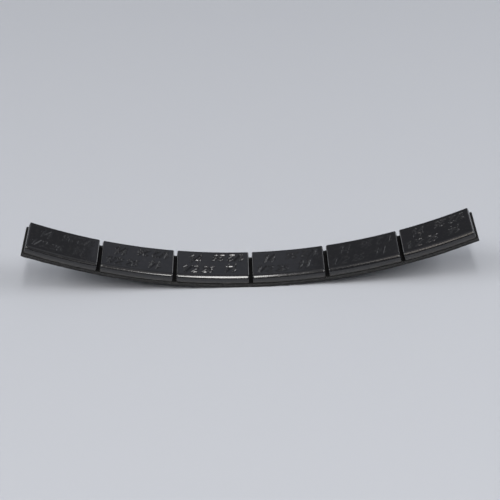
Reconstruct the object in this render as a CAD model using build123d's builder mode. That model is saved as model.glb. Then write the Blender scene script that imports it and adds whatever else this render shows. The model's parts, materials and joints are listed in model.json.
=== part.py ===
"""Stick-on wheel balance weight.

A row of half-ounce steel segments sits on one adhesive foam tape, and all of it is bent to the inside of a
wheel's barrel. The origin is the middle of the tape's sticky face. X runs along the strip, Y along the
wheel's axle, and Z points from the barrel towards the axle, which lies at the height barrel_radius.
"""

import os
from math import cos, degrees, sin

from build123d import *

# Driving dimensions, in millimetres
segment_count = 6
segment_length = 28.4  # along the strip, at half the segment's thickness
segment_width = 19.0  # across the strip
segment_thickness = 3.4
segment_gap = 1.25  # between two neighbours, at half their thickness
shoulder_radius = 1.5  # long upper edges, rolled into the steel bar
end_radius = 0.6  # sheared ends and upright corners, rounded by tumbling
foot_chamfer = 0.25  # edges round the underside
barrel_radius = 225.0  # inside of the wheel's barrel
tape_thickness = 1.1
tape_overhang = 0.4  # of the tape past a segment's long side

# What follows from them
seat_radius = barrel_radius - tape_thickness  # from the axle to a segment's underside
bend_radius = seat_radius - segment_thickness / 2  # from the axle to the line that keeps its length
segment_angle = segment_length / bend_radius
pitch_angle = (segment_length + segment_gap) / bend_radius
tape_width = segment_width + 2 * tape_overhang
tape_angle = segment_count * pitch_angle  # strips are cut from a roll in the middle of a gap

# A rounding never takes more than its share of the wall that it is on
largest_share = 0.45
shoulder = min(shoulder_radius, largest_share * segment_thickness, largest_share * segment_width)
end_rounding = min(end_radius, largest_share * shoulder, largest_share * segment_length)
foot_bevel = min(foot_chamfer, largest_share * end_rounding)

axle = Axis((0, 0, barrel_radius), (0, -1, 0))


def radial_plane(angle):
    """A plane through the axle, at an angle round the barrel: x runs across the strip, y inwards."""
    foot = (barrel_radius * sin(angle), 0, barrel_radius * (1 - cos(angle)))
    return Plane(origin=foot, x_dir=(0, 1, 0), z_dir=(cos(angle), 0, sin(angle)))


def make_segment(index):
    """One length of flat steel bar with rolled shoulders, sheared off and bent to the barrel."""
    middle_angle = (index - (segment_count - 1) / 2) * pitch_angle
    middle = radial_plane(middle_angle)
    along = Axis(middle.origin, middle.z_dir)
    inward = Axis(middle.origin, middle.y_dir)
    with BuildPart() as segment:
        with BuildSketch(radial_plane(middle_angle - segment_angle / 2)) as bar_section:
            with Locations((0, tape_thickness)):
                Rectangle(segment_width, segment_thickness, align=(Align.CENTER, Align.MIN))
            fillet(bar_section.vertices().group_by(Axis.Y)[-1], shoulder)
        revolve(axis=axle, revolution_arc=degrees(segment_angle))
        end_faces = segment.faces().sort_by(along)
        end_edges = []
        for end_face in (end_faces[0], end_faces[-1]):
            end_edges += end_face.edges().sort_by(inward)[1:]  # all but the one on the underside
        fillet(end_edges, end_rounding)
        chamfer(segment.faces().sort_by(inward)[0].edges(), foot_bevel)
    segment.part.label = f"weight_segment_{index + 1}"
    return segment.part


def make_tape():
    """The foam tape, as thick all the way along and cut square at both ends."""
    with BuildPart() as tape:
        with BuildSketch(radial_plane(-tape_angle / 2)):
            Rectangle(tape_width, tape_thickness, align=(Align.CENTER, Align.MIN))
        revolve(axis=axle, revolution_arc=degrees(tape_angle))
    tape.part.label = "foam_tape"
    return tape.part


os.makedirs("parts", exist_ok=True)
pieces = [make_segment(index) for index in range(segment_count)] + [make_tape()]
for piece in pieces:
    export_step(piece, f"parts/{piece.label}.step")
    print(f"{piece.label}: {piece.volume:.1f} mm3")
print(f"pitch {degrees(pitch_angle):.2f} degrees, tape {tape_angle * barrel_radius:.1f} mm along the barrel")
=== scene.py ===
# %% [markdown]
# # A stick-on wheel balance weight
#
# A tyre fitter presses this strip into the barrel of a wheel to cancel its heavy spot. Blocks of black
# painted steel, half an ounce each, ride on one strip of foam tape, and all of it is bent to the barrel.
#
# The solids come from a CAD model and stay where they are. This lesson gives them the looks: figures stamped
# into the steel, paint that flows over every edge, and foam with a torn, spongy rim.

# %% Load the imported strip
import json
import math

import bmesh
import bpy
from mathutils import Matrix, Vector, kdtree, noise


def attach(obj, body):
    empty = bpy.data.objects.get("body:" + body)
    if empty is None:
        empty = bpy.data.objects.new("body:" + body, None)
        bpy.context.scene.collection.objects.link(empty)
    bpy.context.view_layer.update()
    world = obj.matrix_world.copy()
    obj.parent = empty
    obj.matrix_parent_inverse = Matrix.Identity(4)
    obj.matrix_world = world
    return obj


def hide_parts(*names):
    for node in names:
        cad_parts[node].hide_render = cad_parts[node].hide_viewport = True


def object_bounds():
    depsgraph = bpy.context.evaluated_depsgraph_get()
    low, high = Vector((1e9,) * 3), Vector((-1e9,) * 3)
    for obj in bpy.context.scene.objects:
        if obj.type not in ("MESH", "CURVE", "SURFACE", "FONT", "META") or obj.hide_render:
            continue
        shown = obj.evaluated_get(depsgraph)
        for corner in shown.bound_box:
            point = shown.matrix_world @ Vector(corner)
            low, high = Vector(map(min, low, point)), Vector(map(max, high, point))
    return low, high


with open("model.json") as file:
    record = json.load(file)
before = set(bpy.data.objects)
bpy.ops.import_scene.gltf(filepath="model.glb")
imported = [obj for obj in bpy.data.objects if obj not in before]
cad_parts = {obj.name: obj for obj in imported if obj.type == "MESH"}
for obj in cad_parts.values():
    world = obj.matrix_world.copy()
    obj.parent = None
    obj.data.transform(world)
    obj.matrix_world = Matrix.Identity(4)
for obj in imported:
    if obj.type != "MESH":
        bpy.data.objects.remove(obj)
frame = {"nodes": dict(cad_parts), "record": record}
cad_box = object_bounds()
print("CAD nodes:", ", ".join(sorted(frame["nodes"])))

# %% [markdown]
# ## The strip, unrolled
#
# The strip follows the barrel, and a bent thing is awkward to model directly. So every piece is made
# straight, as it comes off the roll, and is bent at the end. For that the CAD pieces are unrolled first: a
# point's angle round the axle says how far along the strip it lies, and its distance from the axle how high
# over the barrel. The box of the unrolled points gives a piece's true length, width and thickness.
# The modelling is done in millimetres, which keeps the numbers easy to read, and each mesh is scaled last.

# %% Unroll the CAD pieces
MILLIMETRE = 0.001
barrel_radius = frame["record"]["mounts"][0]["dims"]["r_mm"]
block_nodes = sorted(name for name in frame["nodes"] if name.startswith("weight_segment"))
tape_node = "foam_tape"


def unroll(point):
    """Angle round the axle, place across the strip and height over the barrel, of a point in metres."""
    x, y, z = point / MILLIMETRE
    inward = barrel_radius - z
    return math.atan2(x, inward), y, barrel_radius - math.hypot(x, inward)


def unrolled_box(node):
    """Lowest and highest corner of a CAD piece, once it is unrolled."""
    points = [unroll(vertex.co) for vertex in frame["nodes"][node].data.vertices]
    return Vector(map(min, zip(*points))), Vector(map(max, zip(*points)))


block_boxes = [unrolled_box(node) for node in block_nodes]
block_low, block_high = block_boxes[0]
bend_radius = barrel_radius - (block_low.z + block_high.z) / 2
block_size = block_high - block_low
block_size.x *= bend_radius
print("one block, straightened:", [round(side, 2) for side in block_size], "mm")

# %% [markdown]
# ## The camera
#
# The strip is seen from the open side of the wheel, from a little above, with the axle up and away. The
# camera is made first, so that every later choice can be judged in the picture. A long lens from two feet
# away gives the slight narrowing towards the far edge, and a small roll lifts the right end.

# %% Place the camera
view_elevation = math.radians(32)
view_roll = math.radians(1.9)
view_distance = 0.60
strip_share_of_picture = 0.90
sensor_width = 36

strip_centre = (cad_box[0] + cad_box[1]) / 2
strip_length = cad_box[1].x - cad_box[0].x
camera_data = bpy.data.cameras.new("camera")
camera_data.sensor_width = sensor_width
camera_data.lens = sensor_width * view_distance * strip_share_of_picture / strip_length
camera = bpy.data.objects.new("camera", camera_data)
bpy.context.collection.objects.link(camera)
toward_camera = Vector((0, -math.cos(view_elevation), math.sin(view_elevation)))
stand = Matrix.Translation(strip_centre + toward_camera * view_distance)
facing = toward_camera.to_track_quat("Z", "Y").to_matrix().to_4x4()
camera.matrix_world = stand @ facing @ Matrix.Rotation(-view_roll, 4, "Z")
bpy.context.scene.camera = camera
print("lens:", round(camera_data.lens, 1), "mm")

# %% [markdown]
# ## Writing a shader as arithmetic
#
# A material is a graph of nodes, and most of them do plain arithmetic. The class below wraps one output
# socket, so that `1 - mask` or `wear * 0.3 + base` adds the Math nodes by itself. Every other kind of node
# comes from its one method, `node`, which takes the type, the settings and the inputs.

# %% Wrap a socket
class Signal:
    """An output socket of a node tree that takes part in Python expressions."""

    def __init__(self, tree, socket):
        self.tree = tree
        self.socket = socket

    def node(self, kind, inputs, settings=None, output=0):
        """Adds a node. Its settings are set first, and its inputs are values or signals."""
        made = self.tree.nodes.new(kind)
        for name, value in (settings or {}).items():
            setattr(made, name, value)
        for name, value in inputs.items():
            if isinstance(value, Signal):
                self.tree.links.new(value.socket, made.inputs[name])
            else:
                made.inputs[name].default_value = value
        return Signal(self.tree, made.outputs[output])

    def math(self, operation, first, second):
        """Adds a Math node."""
        return self.node("ShaderNodeMath", {0: first, 1: second}, {"operation": operation})

    def __add__(self, other):
        return self.math("ADD", self, other)

    def __radd__(self, other):
        return self.math("ADD", other, self)

    def __sub__(self, other):
        return self.math("SUBTRACT", self, other)

    def __rsub__(self, other):
        return self.math("SUBTRACT", other, self)

    def __mul__(self, other):
        return self.math("MULTIPLY", self, other)

    def __rmul__(self, other):
        return self.math("MULTIPLY", other, self)

    def step(self, low, high):
        """A smooth rise from 0 at low to 1 at high."""
        inputs = {"Value": self, "From Min": low, "From Max": high}
        return self.node("ShaderNodeMapRange", inputs, {"interpolation_type": "SMOOTHSTEP"})

    def blend(self, first, second):
        """Mixes two colours, with this signal as the share of the second."""
        inputs = {"Factor": self, "A": first, "B": second}
        return self.node("ShaderNodeMix", inputs, {"data_type": "RGBA"}, "Result")


print("sockets can be added, subtracted and multiplied")

# %% [markdown]
# ## Patterns
#
# Few kinds of pattern make all the finishes here: soft clouds, cells with borders, and the same drawn out in
# one direction. They are sized in millimetres on the object itself, so a bubble is as large as a real bubble.

# %% Define the patterns
def new_material(name):
    """A material, its Principled shader, and the place on the piece, in millimetres, as a signal."""
    material = bpy.data.materials.new(name)
    material.use_nodes = True
    tree = material.node_tree
    coordinates = tree.nodes.new("ShaderNodeTexCoord")
    in_metres = Signal(tree, coordinates.outputs["Object"])
    scale = {0: in_metres, "Scale": 1 / MILLIMETRE}
    in_millimetres = in_metres.node("ShaderNodeVectorMath", scale, {"operation": "SCALE"})
    return material, tree.nodes["Principled BSDF"], in_millimetres


def mesh_value(place, name):
    """A number that the mesh itself carries at each of its points."""
    return place.node("ShaderNodeAttribute", {}, {"attribute_name": name}, "Fac")


def stretched(place, x=1.0, y=1.0, z=1.0):
    """The place with each axis scaled. A small scale draws a pattern out along that axis."""
    return place.node("ShaderNodeVectorMath", {0: place, 1: (x, y, z)}, {"operation": "MULTIPLY"})


def cloud(place, size, detail=2.0, roughness=0.5):
    """Soft noise between 0 and 1 with blots of a size in millimetres."""
    inputs = {"Vector": place, "Scale": 1 / size, "Detail": detail, "Roughness": roughness}
    return place.node("ShaderNodeTexNoise", inputs, output="Fac")


def cells(place, size, feature="F1"):
    """Distance from the middle of cells of a size in millimetres, or from their borders."""
    inputs = {"Vector": place, "Scale": 1 / size}
    return place.node("ShaderNodeTexVoronoi", inputs, {"feature": feature}, "Distance")


def bumps(height, depth, below=None):
    """A normal from a height of 0 to 1 and a depth in millimetres, over another bump if there is one."""
    inputs = {"Height": height, "Distance": depth * MILLIMETRE, "Strength": 1.0}
    if below is not None:
        inputs["Normal"] = below
    return height.node("ShaderNodeBump", inputs)


def wire(shader, **signals):
    """Feeds a shader's inputs, given with underscores for the spaces in their names."""
    for name, value in signals.items():
        socket = shader.inputs[name.replace("_", " ")]
        if isinstance(value, Signal):
            value.tree.links.new(value.socket, socket)
        else:
            socket.default_value = value


print("patterns ready")

# %% [markdown]
# ## Black paint
#
# The steel is dipped and baked, so the paint is a thin glossy film that sags a little, like the skin of an
# orange. A film this dark shows almost nothing but reflections, and a plain black with one roughness would
# look like plastic. So the finish lives in its roughness and its bumps: soft orange peel, a few nibs of dust
# caught in the paint, rub marks along the strip, and lines down the ends where the shears tore the steel. A
# haze of dust lies on all of it. Low on the walls a lighter grey is painted in streaks, partly grime and
# partly a painted reflection of the pale floor that the walls mirror. The mesh itself says which points lie
# in a stamped stroke, on a sheared end or low on a wall.

# %% Mix the paint
deep_black = (0.0055, 0.0055, 0.0070, 1)
thin_black = (0.0085, 0.0084, 0.0098, 1)
dust_colour = (0.060, 0.056, 0.051, 1)
rub_colour = (0.070, 0.069, 0.070, 1)
# Lighter grey low on the walls: partly grime, partly a painted reflection of the pale floor
grime_and_floor_reflection_colour = (0.085, 0.080, 0.074, 1)
paint_ior = 1.65


def make_paint():
    material, shader, place = new_material("black_paint")
    stamped = mesh_value(place, "stamped")
    sheared = mesh_value(place, "sheared")
    grimy = mesh_value(place, "grimy")
    blots = cloud(place, 7.0, detail=3.0)
    peel = cloud(place, 1.4)
    grit = cloud(place, 0.22)
    nib = 1 - cells(place, 2.1).step(0.03, 0.10)
    rub = cloud(stretched(place, x=0.06), 0.5, detail=3.0, roughness=0.65).step(0.58, 0.80)
    rub = rub * blots.step(0.45, 0.65)
    dust = cloud(place, 1.6, detail=5.0, roughness=0.75).step(0.50, 0.80)
    shear_lines = cloud(stretched(place, z=0.12), 0.3, detail=3.0, roughness=0.6) * sheared
    streaks = cloud(stretched(place, x=0.12), 0.4, detail=3.0, roughness=0.6).step(0.35, 0.65)
    # Painted floor reflection and grime: lighter grey in streaks, strongest at the foot of the walls
    grime_and_reflection = grimy * (0.26 + streaks * 0.46)

    clean = blots.blend(deep_black, thin_black)
    dusty = (dust * 0.30).blend(clean, dust_colour)
    rubbed = (rub * 0.25).blend(dusty, rub_colour)
    colour = grime_and_reflection.blend(rubbed, grime_and_floor_reflection_colour)
    gloss = 0.07 + blots * 0.04 + dust * 0.06 + rub * 0.08
    gloss = gloss + stamped * 0.08 + sheared * 0.15 + grime_and_reflection * 0.20
    relief = bumps(grit, 0.0004, below=bumps(peel, 0.0025))
    relief = bumps(shear_lines, 0.05, below=bumps(nib, 0.010, below=relief))
    wire(shader, Base_Color=colour, Roughness=gloss, Normal=relief, IOR=paint_ior)
    return material


paint = make_paint()
print("paint:", len(paint.node_tree.nodes), "nodes")

# %% [markdown]
# ## Foam
#
# The tape is black sponge. Where it was cut, the bubbles lie open, each with painted shade in its hollow and
# a painted highlight on the thin, glossier wall round it. Clouds of noise would look like cloth or stone
# here, while a Voronoi pattern draws just such cells. Crumbs of glue stick to the rim and catch the light.
# The uncut skin, which shows between the blocks, is painted almost black, partly its own smooth finish and
# partly painted shade in the gaps, so the mesh says how near a point is to the rim.

# %% Mix the foam
# The uncut skin seen in the gaps between blocks: its own dark finish, darkened further as painted shade
skin_and_gap_shade_colour = (0.0075, 0.0075, 0.0080, 1)
# Painted shade in the hollows of the open bubbles, and a painted highlight on their thin walls
bubble_shade_colour = (0.0145, 0.0145, 0.0152, 1)
bubble_wall_highlight_colour = (0.0530, 0.0530, 0.0540, 1)
crumb_colour = (0.08, 0.08, 0.08, 1)
foam_specular = 0.15


def make_foam():
    material, shader, place = new_material("black_foam")
    rim = mesh_value(place, "rim")
    bubbles = cells(place, 0.42)
    walls = 1 - cells(place, 0.42, feature="DISTANCE_TO_EDGE").step(0.02, 0.16)
    fine = cloud(place, 0.12, detail=3.0, roughness=0.6)
    crumbs = cloud(place, 0.7, detail=3.0, roughness=0.7).step(0.58, 0.70)
    # The bubbles' hollows get painted shade and their walls a painted highlight
    sponge = walls.blend(bubble_shade_colour, bubble_wall_highlight_colour)
    crumbly = (crumbs * 0.35).blend(sponge, crumb_colour)
    # Away from the rim the skin is painted almost black, partly as painted shade in the gaps between blocks
    colour = rim.blend(skin_and_gap_shade_colour, crumbly)
    gloss = 0.88 - walls * 0.26 - crumbs * 0.38
    relief = bumps(fine, 0.03, below=bumps(bubbles, 0.16))
    wire(shader, Base_Color=colour, Roughness=gloss, Normal=relief, Specular_IOR_Level=foam_specular)
    return material


foam = make_foam()
print("foam:", len(foam.node_tree.nodes), "nodes")

# %% [markdown]
# ## Glue
#
# The sticky face underneath is a smooth film. The foam's own finish would be too rough for it, so it has one
# of its own: the bubbles show only as faint dimples, with long ripples from the roll and paths where air was
# caught between the glue and its cover paper.

# %% Mix the glue
thick_glue_colour = (0.014, 0.014, 0.015, 1)
hazy_glue_colour = (0.030, 0.030, 0.032, 1)


def make_glue():
    material, shader, place = new_material("glue_film")
    dimples = cells(place, 0.55)
    ripple = cloud(stretched(place, x=0.35), 2.2, detail=3.0, roughness=0.55)
    trapped_air = cells(stretched(place, x=0.6), 4.5, feature="DISTANCE_TO_EDGE").step(0.0, 0.10)
    haze = cloud(place, 5.0, detail=3.0)
    colour = haze.blend(thick_glue_colour, hazy_glue_colour)
    gloss = 0.30 + haze * 0.16 + (1 - trapped_air) * 0.14
    relief = bumps(dimples, 0.03, below=bumps(ripple, 0.10, below=bumps(trapped_air, 0.04)))
    wire(shader, Base_Color=colour, Roughness=gloss, Normal=relief)
    return material


glue = make_glue()
print("glue:", len(glue.node_tree.nodes), "nodes")

# %% [markdown]
# ## The figures
#
# Each block is stamped with its weight, in ounces and in grams, and a die number, and once more upside down
# so that it can be read from either side. A text object would give outlines to fill, but the punches draw
# single strokes that lean to the right, so a figure here is a few lines and arcs.

# %% Draw the figures
arc_steps = 14


def arc(x, y, width, height, start, end):
    """Points along part of an ellipse, from one angle to another in degrees."""
    angles = [math.radians(start + (end - start) * step / arc_steps) for step in range(arc_steps + 1)]
    return [(x + width * math.cos(angle), y + height * math.sin(angle)) for angle in angles]


# Strokes of each figure, in a box one unit tall
figures = {
    "1": [[(0.00, 0.74), (0.28, 1.00), (0.28, 0.00)]],
    "2": [arc(0.28, 0.71, 0.28, 0.29, 165, -35) + [(0.00, 0.00), (0.60, 0.00)]],
    "4": [[(0.50, 0.00), (0.50, 1.00), (0.00, 0.30), (0.68, 0.30)]],
    "6": [arc(0.29, 0.29, 0.29, 0.29, 0, 360), arc(0.60, 0.33, 0.60, 0.67, 180, 100)],
    "/": [[(0.00, 0.00), (0.44, 1.00)]],
}
figure_middle = 0.5
figure_spacing = 0.26
figure_slant = 0.25
# Text, height, width and middle of each mark, in millimetres from the middle of the block
marks = [
    ("14", 5.4, 4.4, (-7.0, 3.2)),
    ("1/2", 4.3, 5.9, (-9.0, -4.2)),
    ("26", 4.0, 3.9, (-2.0, -4.2)),
]
print("figures:", " ".join(figures), "in the marks", ", ".join(mark[0] for mark in marks))

# %% [markdown]
# ## A map of the strokes
#
# A dent needs to know only one thing about a place on the face: how far away the nearest stroke is. So the
# strokes become rows of close points, and a k-d tree finds the nearest of them, which is much quicker than
# measuring to every line. The die never lands quite straight, so each block has its own small turn and shift.

# %% Map the strokes
point_spacing = 0.05


def points_along(stroke):
    """Points along a stroke's lines, close enough together to stand for the line."""
    for start, end in zip(stroke, stroke[1:]):
        start, end = Vector(start), Vector(end)
        count = max(1, round((end - start).length / point_spacing))
        for step in range(count + 1):
            yield start.lerp(end, step / count)


def mark_points(text, height, width, middle):
    """The points of one mark, at its place on the block."""
    strokes = []
    pen = 0.0
    for figure in text:
        drawn = [[(x + pen, y) for x, y in stroke] for stroke in figures[figure]]
        strokes += drawn
        pen = max(x for stroke in drawn for x, y in stroke) + figure_spacing
    squeeze = width / (pen - figure_spacing)
    lean = figure_slant * height
    for stroke in strokes:
        placed = []
        for x, y in stroke:
            above = y - figure_middle
            placed.append((x * squeeze - width / 2 + above * lean, above * height))
        for point in points_along(placed):
            yield point + Vector(middle)


def stroke_map(turn, shift):
    """All the strokes of a block, the second set turned upside down, struck a little askew."""
    upright_set = [point for mark in marks for point in mark_points(*mark)]
    points = upright_set + [-point for point in upright_set]
    askew = Matrix.Rotation(turn, 2)
    tree = kdtree.KDTree(len(points))
    for index, point in enumerate(points):
        tree.insert((askew @ point + shift).to_3d(), index)
    tree.balance()
    return tree


print("stroke points on a block:", 2 * sum(1 for mark in marks for point in mark_points(*mark)))

# %% [markdown]
# ## A plain block
#
# A block starts as a cube. Three bevels give it the edges of the real one: the wide rolled shoulders of the
# bar, the tumbled ends and the small foot. A Bevel modifier works with one width at a time, so each set of
# edges is picked out and rounded by itself.

# %% Round off a block
shoulder_radius = 1.5
shoulder_steps = 12
end_radius = 0.6
end_steps = 6
foot_chamfer = 0.25
foot_steps = 2
touch = 1e-4
square_on = 0.99
along_strip, across_strip = 0, 1


def round_off(bm, edges, radius, segments):
    """Bevels edges to a round of a radius."""
    bmesh.ops.bevel(
        bm, geom=edges, offset=radius, offset_type="OFFSET", segments=segments,
        profile=0.5, affect="EDGES", material=-1,
    )
    bm.normal_update()


def reach(edge, axis):
    """How far an edge runs along an axis."""
    first, second = edge.verts
    return abs(first.co[axis] - second.co[axis])


def edges_along(bm, axis):
    """The edges that run most of the way along an axis of the block."""
    return [edge for edge in bm.edges if reach(edge, axis) > block_size[axis] / 2]


def above_foot(edge):
    """Whether an edge reaches above the underside of the block."""
    return max(vertex.co.z for vertex in edge.verts) > block_low.z + touch


def plain_block():
    """A straight block at its height over the barrel, with the rounded edges of the real one."""
    bm = bmesh.new()
    bmesh.ops.create_cube(bm, size=1)
    bmesh.ops.scale(bm, vec=block_size, verts=bm.verts)
    bmesh.ops.translate(bm, vec=(0, 0, (block_low.z + block_high.z) / 2), verts=bm.verts)
    shoulders = [edge for edge in edges_along(bm, along_strip) if above_foot(edge)]
    round_off(bm, shoulders, shoulder_radius, shoulder_steps)
    ends = [face for face in bm.faces if abs(face.normal.x) > square_on]
    end_outline = [edge for face in ends for edge in face.edges if above_foot(edge)]
    round_off(bm, end_outline, end_radius, end_steps)
    foot = min(bm.faces, key=lambda face: face.normal.z)
    round_off(bm, list(foot.edges), foot_chamfer, foot_steps)
    return bm


sample = plain_block()
print("a plain block has", len(sample.faces), "faces")
sample.free()

# %% [markdown]
# ## A fine grid
#
# The block has to be divided, finely enough to bend and to take the stamp. A Subdivision Surface would soften
# the edges that were just made, so the long edges are cut instead, and a grid fills the faces between them.
# The underside lies on the tape, where nobody sees it, and gets only the cuts that the bend needs.

# %% Divide a block
grid_cell = 0.090


def in_sight(edge):
    """Whether an edge borders on any face that doesn't point straight down."""
    return max(face.normal.z for face in edge.link_faces) > -square_on


def divide(bm):
    """Divides a block into fine strips along and across. The hidden underside gets only those across."""
    for axis in (along_strip, across_strip):
        cuts = round(block_size[axis] / grid_cell)
        edges = [edge for edge in edges_along(bm, axis) if in_sight(edge)]
        bmesh.ops.subdivide_edges(bm, edges=edges, cuts=cuts, use_grid_fill=True)
        bm.normal_update()
    many_sided = [face for face in bm.faces if len(face.verts) > 4]
    bmesh.ops.triangulate(bm, faces=many_sided, ngon_method="BEAUTY")


sample = plain_block()
divide(sample)
print("a divided block has", len(sample.faces), "faces")
sample.free()

# %% [markdown]
# ## The stamp
#
# Every point of the face is pressed down where a stroke lies, with a lip of pushed-up steel beside it. The
# punch is a blunt wedge, so a stroke has two straight walls and a narrow floor: one wall catches the light
# and the other stays dark. A boolean cut would leave knife edges, and a bump would vanish from the side, so
# the dents are real. Between them the face waves a little, as cold rolled bar does after the blow.

# %% Press the strokes
stroke_half_width = 0.38
stroke_floor = 0.05
stroke_depth = 0.23
stroke_unevenness = 0.12
unevenness_length = 1.3
lip_height = 0.02
lip_width = 0.16
lip_crest = 0.5  # share of the lip's width
face_waviness = 0.016
wave_length = 7.0
fine_wave_share = 0.4
fine_wave_ratio = 2.7
wave_margin = 2.0


def share_between(value, low, high):
    """How far a value has come from low to high, from 0 to 1."""
    return min(max((value - low) / (high - low), 0), 1)


def ramp(value, low, high):
    """A smooth rise from 0 at low to 1 at high."""
    share = share_between(value, low, high)
    return share * share * (3 - 2 * share)


def stamp(bm, strokes, force, seed):
    """Presses the strokes into the top of a block with a force, and lets the flat between them wave."""
    stamped = bm.verts.layers.float.new("stamped")
    top = [vertex for vertex in bm.verts if abs(vertex.co.z - block_high.z) < touch]
    half_length = max(vertex.co.x for vertex in top)
    half_width = max(vertex.co.y for vertex in top)
    for vertex in top:
        place = Vector((vertex.co.x, vertex.co.y, seed))
        distance = strokes.find((place.x, place.y, 0))[2]
        uneven = 1 + stroke_unevenness * noise.noise(place / unevenness_length)
        width = stroke_half_width * uneven
        dent = share_between(distance, width, stroke_floor)
        lip = math.exp(-(((distance - width) / lip_width - lip_crest) ** 2)) * (1 - dent)
        from_edge = min(half_length - abs(place.x), half_width - abs(place.y))
        fine_wave = noise.noise(place / wave_length * fine_wave_ratio)
        wave = noise.noise(place / wave_length) + fine_wave_share * fine_wave
        vertex.co.z += (lip * lip_height - dent * stroke_depth) * uneven * force
        vertex.co.z += face_waviness * wave * ramp(from_edge, 0, wave_margin)
        vertex[stamped] = dent


print("strokes are", 2 * stroke_half_width, "mm wide and about", stroke_depth, "mm deep")

# %% [markdown]
# ## Bending
#
# A straight piece is bent by moving its points: the place along it becomes an angle round the axle, and the
# height a distance from the barrel. A Simple Deform modifier bends too, but about its own origin, and this
# way lands on the angles of the CAD model. A bent piece is then scaled to metres, and stands for a CAD node.

# %% Bend a piece and hand it over
def bend(bm, middle_angle):
    """Wraps a straight piece round the axle, with its middle at an angle."""
    for vertex in bm.verts:
        angle = middle_angle + vertex.co.x / bend_radius
        radius = barrel_radius - vertex.co.z
        vertex.co = (radius * math.sin(angle), vertex.co.y, barrel_radius - radius * math.cos(angle))


def add_piece(bm, name, materials, node):
    """Turns a bmesh in millimetres into an object in metres that stands for a CAD node."""
    bmesh.ops.scale(bm, vec=(MILLIMETRE,) * 3, verts=bm.verts)
    for face in bm.faces:
        face.smooth = True
    mesh = bpy.data.meshes.new(name)
    bm.to_mesh(mesh)
    bm.free()
    for material in materials:
        mesh.materials.append(material)
    piece = bpy.data.objects.new(name, mesh)
    bpy.context.collection.objects.link(piece)
    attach(piece, "root")
    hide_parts(node)
    mesh.calc_loop_triangles()
    print(name, "has", len(mesh.loop_triangles), "triangles")
    return piece


print("pieces are bent to", barrel_radius, "mm")

# %% [markdown]
# ## The blocks
#
# Each block is made by itself, because copies of one would show the same blow six times. No two blows of the
# die are equal: the third block is struck hardest, the first and the fifth only lightly. Each block is also
# seated a hair out of line, as a hand or a machine leaves it.

# %% Make the blocks
seat_wander = 0.10
seat_turn = math.radians(0.2)
die_wander = 0.30
die_turn = math.radians(0.8)
die_forces = (0.40, 0.85, 1.30, 0.75, 0.50, 1.05)
seed_step = 10.0
# The row of the noise in which each small accident is looked up. Noise is zero at whole numbers, so the
# rows lie half a step beside them.
die_turn_row, die_along_row, die_across_row, seat_turn_row, seat_row = 0.5, 3.5, 7.5, 11.5, 17.5
beside_whole = 0.5


def chance(seed, row):
    """A number between about -1 and 1 that is always the same for a block."""
    return noise.noise(Vector((seed, row, beside_whole)))


def make_block(index, node):
    """A stamped block at its place on the barrel."""
    seed = seed_step * index
    bm = plain_block()
    sheared = bm.verts.layers.float.new("sheared")
    grimy = bm.verts.layers.float.new("grimy")
    for vertex in bm.verts:
        vertex[sheared] = float(abs(vertex.co.x) > block_size.x / 2 - touch)
        # Share of the painted floor reflection and grime: 0 at the shoulder, 1 at the foot of the wall
        vertex[grimy] = ramp(vertex.co.z, block_high.z - shoulder_radius, block_low.z)
    divide(bm)
    die_shift = Vector((chance(seed, die_along_row), chance(seed, die_across_row))) * die_wander
    strokes = stroke_map(die_turn * chance(seed, die_turn_row), die_shift)
    stamp(bm, strokes, die_forces[index], seed)
    seat = Matrix.Rotation(seat_turn * chance(seed, seat_turn_row), 3, "Z")
    bmesh.ops.rotate(bm, cent=(0, 0, 0), matrix=seat, verts=bm.verts)
    bmesh.ops.translate(bm, vec=(0, seat_wander * chance(seed, seat_row), 0), verts=bm.verts)
    low, high = block_boxes[index]
    bend(bm, (low.x + high.x) / 2)
    block = add_piece(bm, f"stamped_block_{index + 1}", [paint], node)
    even = block.modifiers.new("even_shading", "WEIGHTED_NORMAL")
    even.mode = "FACE_AREA_WITH_ANGLE"


for index, node in enumerate(block_nodes):
    make_block(index, node)

# %% [markdown]
# ## The foam tape
#
# The tape is a long thin slab, as wide as the blocks and a little more. A cushion would be swelled by a cloth
# simulation, but this pad is pressed flat and shows only its cut rim. So the slab is divided finely along the
# strip and through its thickness, and its rims are pushed in and out by noise: a slow wander, a soft bulge
# where the blocks squeeze it, open bubbles, and smears of glue along the foot. Then it is bent like the
# blocks.

# %% Make the tape
tape_low, tape_high = unrolled_box(tape_node)
tape_length = (tape_high.x - tape_low.x) * bend_radius
tape_size = Vector((tape_length, tape_high.y - tape_low.y, tape_high.z - tape_low.z))
tape_cuts = (900, 11, 8)
foam_index, glue_index = 0, 1
skin_margin = 0.5
rim_width = 2.0
rim_bulge = 0.10
rim_wander = 0.22
quick_share = 0.5
bubble_size = 0.55
bubble_depth = 0.16
bubble_brim, bubble_bottom = 0.55, 0.05
bubble_spread = 40.0
glue_smear = 0.30
smear_top = 0.35  # share of the thickness
# Length in millimetres and row of each noise along the rim, and how far apart the two sides are in it
slow_wander = (17, 0.3, 9.0)
quick_wander = (5, 0.7, 1.0)
smears = (2.6, 5.5, 3.0)


def rim_noise(along, side, length, row, spread):
    """Noise along the rim, which differs from side to side."""
    return noise.noise(Vector((along / length, row, spread * side)))


def rim_shift(along, share, side):
    """How far the cut rim stands out at a place along it and a share of the thickness."""
    place = Vector((along, share * tape_size.z, bubble_spread * side))
    bubble = ramp(noise.voronoi(place / bubble_size)[0][0], bubble_brim, bubble_bottom)
    wander = rim_noise(along, side, *slow_wander) + quick_share * rim_noise(along, side, *quick_wander)
    smear = max(0, rim_noise(along, side, *smears)) * ramp(share, smear_top, 0.0)
    swell = rim_bulge * (1 - (2 * share - 1) ** 2)
    return swell + rim_wander * wander + glue_smear * smear - bubble_depth * bubble


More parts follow.
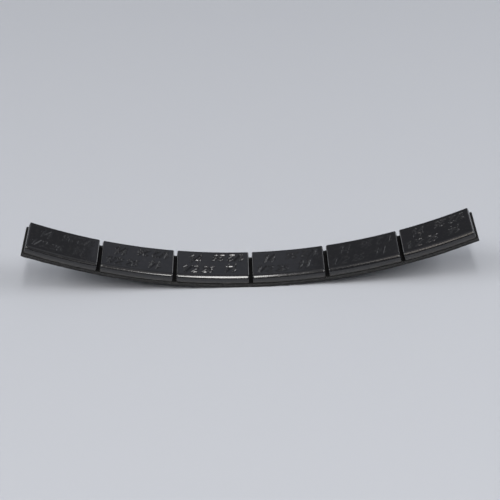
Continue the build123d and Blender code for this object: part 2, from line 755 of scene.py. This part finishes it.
def make_tape():
    """The foam strip with its torn rims, bent to the barrel."""
    bm = bmesh.new()
    bmesh.ops.create_cube(bm, size=1)
    bmesh.ops.translate(bm, vec=(0, 0, 0.5), verts=bm.verts)
    bmesh.ops.scale(bm, vec=tape_size, verts=bm.verts)
    for axis, cuts in enumerate(tape_cuts):
        edges = [edge for edge in bm.edges if reach(edge, axis) > touch]
        bmesh.ops.subdivide_edges(bm, edges=edges, cuts=cuts, use_grid_fill=True)
    bm.normal_update()
    for face in bm.faces:
        face.material_index = glue_index if face.normal.z < -square_on else foam_index
    rim = bm.verts.layers.float.new("rim")
    for vertex in bm.verts:
        along, across, height = vertex.co
        side = math.copysign(1, across)
        from_end = tape_size.x / 2 - abs(along)
        from_side = tape_size.y / 2 - abs(across)
        vertex[rim] = ramp(min(from_end, from_side), skin_margin, 0)
        vertex.co.y += side * ramp(from_side, rim_width, 0) * rim_shift(along, height / tape_size.z, side)
    bend(bm, (tape_low.x + tape_high.x) / 2)
    tape = add_piece(bm, "foam_strip", [foam, glue], tape_node)


make_tape()

# %% [markdown]
# ## The floor
#
# A plain pale floor lies a hair under the strip's lowest point. It also shows from below in the sides of the
# blocks, which mirror it as a grey band. One large face is enough for both.

# %% Lay the floor
floor_size = 6.0
floor_gap = 0.02 * MILLIMETRE
floor_colour = (0.505, 0.523, 0.565, 1)
floor_roughness = 0.60


def add_floor():
    """One wide face under the strip, which isn't part of it."""
    bm = bmesh.new()
    bmesh.ops.create_grid(bm, x_segments=1, y_segments=1, size=floor_size / 2)
    bmesh.ops.translate(bm, vec=(0, 0, cad_box[0].z - floor_gap), verts=bm.verts)
    mesh = bpy.data.meshes.new("floor")
    bm.to_mesh(mesh)
    bm.free()
    floor = bpy.data.objects.new("floor", mesh)
    bpy.context.collection.objects.link(floor)
    material = bpy.data.materials.new("pale_floor")
    material.use_nodes = True
    shader = material.node_tree.nodes["Principled BSDF"]
    wire(shader, Base_Color=floor_colour, Roughness=floor_roughness)
    mesh.materials.append(material)


add_floor()
print("floor:", floor_size, "m wide")

# %% [markdown]
# ## The light
#
# A glossy black thing is lit by what it mirrors, so each lamp is placed by the surface that shows it. The key
# box over the camera draws the white line along the rolled shoulder of the third block. It hangs high, so
# that the faces don't mirror it when they are seen from behind. A wide faint glow draws the grey line on the
# neighbours, and two warm boxes the line on the last block. Behind the strip, a faint blue panel lends the
# faces their sheen, a panel at the right shows the leaning strokes, and two low ones the rounded ends on both
# sides of each gap. The boxes at the sides light the floor. The rest of the room stays dim.

# %% Hang the soft boxes
def add_softbox(name, place, along, width, length, brightness, colour):
    """A soft box that faces the strip, its length along a direction. Brightness is that of its face."""
    data = bpy.data.lights.new(name, "AREA")
    data.shape = "RECTANGLE"
    data.size = width
    data.size_y = length
    data.energy = brightness * math.pi * width * length
    data.color = colour
    light = bpy.data.objects.new(name, data)
    bpy.context.collection.objects.link(light)
    back = Vector(place).normalized()
    side = Vector(along).cross(back).normalized()
    turn = Matrix((side, back.cross(side), back)).transposed()
    light.matrix_world = Matrix.Translation(place) @ turn.to_4x4()


depthwise = (0, 1, 0)
upright = (0, 0, 1)
white = (1.0, 1.0, 1.0)
soft_white = (1.0, 0.99, 0.97)
cream = (1.0, 0.94, 0.87)
amber = (1.0, 0.92, 0.82)
cool_white = (0.95, 0.97, 1.0)
sky_blue = (0.80, 0.85, 1.0)
# Name, place in metres, direction of the length, width, length, brightness and colour
soft_boxes = [
    ("key_box", (0.046, -0.627, 1.023), upright, 0.150, 1.09, 12.0, soft_white),
    ("front_glow", (0.08, -0.78, 0.93), upright, 0.36, 1.00, 0.6, cream),
    ("high_warm_box", (-0.38, -0.55, 1.08), upright, 0.11, 0.62, 4.4, amber),
    ("low_warm_box", (-0.275, -0.906, 0.787), upright, 0.09, 0.30, 4.4, amber),
    ("overhead_panel", (0.00, 0.10, 1.30), depthwise, 1.60, 1.60, 0.3, cool_white),
    ("sheen_panel", (0.08, 1.36, 0.85), upright, 0.34, 0.30, 0.16, sky_blue),
    ("back_right_panel", (1.05, 1.25, 0.76), upright, 0.45, 0.50, 1.0, cool_white),
    ("right_end_panel", (0.80, 1.58, 0.29), upright, 0.45, 0.45, 2.0, cool_white),
    ("left_end_panel", (-0.80, 1.58, 0.29), upright, 0.40, 0.45, 1.2, cool_white),
    ("side_box", (-1.30, -0.20, 1.00), depthwise, 1.00, 1.00, 3.6, white),
    ("side_box", (1.30, -0.20, 1.00), depthwise, 1.00, 1.00, 3.6, white),
]
for soft_box in soft_boxes:
    add_softbox(*soft_box)
print("lamps:", ", ".join(light.name for light in bpy.data.lights))

# %% [markdown]
# ## The room
#
# A little even light from all around keeps the shadows open. The Standard view shows colours as they are
# mixed, where the default one would soften the contrast.

# %% Dim the room
room_colour = (0.90, 0.93, 1.0, 1)
room_strength = 0.14

world = bpy.data.worlds.new("room")
world.use_nodes = True
wire(world.node_tree.nodes["Background"], Color=room_colour, Strength=room_strength)
bpy.context.scene.world = world
bpy.context.scene.view_settings.view_transform = "Standard"
print("room light:", room_strength)

# %% [markdown]
# ## Sizes
#
# The dressed strip has to be as large as the CAD model. The CAD model's box is printed here.

# %% Print the CAD box
print("CAD box:", [round(side / MILLIMETRE, 1) for side in cad_box[1] - cad_box[0]], "mm")
